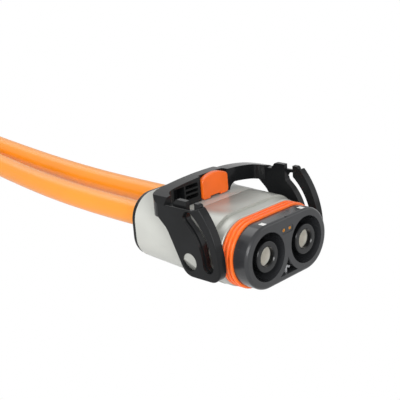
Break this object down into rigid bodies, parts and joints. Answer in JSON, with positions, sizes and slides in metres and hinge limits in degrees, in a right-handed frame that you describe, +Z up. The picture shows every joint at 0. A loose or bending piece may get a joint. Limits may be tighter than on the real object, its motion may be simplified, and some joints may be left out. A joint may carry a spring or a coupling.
{
  "type": "high voltage cable plug",
  "caption": "Two-pole high-voltage plug with sealed obround nose, touch-safe sockets, cam lever, locking slider and orange pigtail cables.",
  "frame": {"origin": "centre of the flat mating face, midway between the two contacts", "axes": "+X across the two contacts; the mating direction is -Y, turned 7 degrees nose up as the plug lies on a bench; +Z up from the bench, which is 26.2 mm below the origin"},
  "size_m": [0.1046, 0.6196, 0.0607],
  "materials": {
    "nose_plastic": "satin",
    "orange_silicone": "satin",
    "black_plastic": "matte",
    "plated_copper": "satin",
    "key_plastic": "satin",
    "cast_housing": "satin",
    "cover_finish": "satin",
    "lever_plastic": "satin",
    "slider_plastic": "satin",
    "silver_plate": "bright",
    "ferrule_steel": "satin",
    "cable_jacket": "satin"
  },
  "bodies": {
    "plug": {"contact_carrier": "nose_plastic", "interface_seal": "orange_silicone", "interlock_insert": "black_plastic", "interlock_contacts": "plated_copper", "coding_key": "key_plastic", "outer_housing": "cast_housing", "rear_cover": "cover_finish", "rear_cap": "black_plastic", "touch_guard_left": "nose_plastic", "touch_guard_right": "nose_plastic", "socket_contact_left": "silver_plate", "socket_contact_right": "silver_plate", "spring_cage_left": "silver_plate", "spring_cage_right": "silver_plate", "cable_core_left": "plated_copper", "cable_core_right": "plated_copper", "shield_sleeve_left": "ferrule_steel", "shield_sleeve_right": "ferrule_steel", "shield_spring_left": "ferrule_steel", "shield_spring_right": "ferrule_steel", "cable_seal_left": "orange_silicone", "cable_seal_right": "orange_silicone", "cable_left": "cable_jacket", "cable_right": "cable_jacket", "cable_lug_left": "silver_plate", "cable_lug_right": "silver_plate", "lug_sleeve_left": "black_plastic", "lug_sleeve_right": "black_plastic"},
    "lever": {"lever": "lever_plastic"},
    "slider": {"assurance_slider": "slider_plastic"}
  },
  "joints": [
    {"name": "lever_pivot", "type": "hinge", "parent": "plug", "child": "lever", "pos_m": [0, 0.03573, -0.00439], "axis": [1, 0, 0], "range_deg": [0, 80]},
    {"name": "slider_slide", "type": "slide", "parent": "lever", "child": "slider", "axis": [0, -0.9925, 0.1219], "range_m": [0, 0.003]}
  ]
}
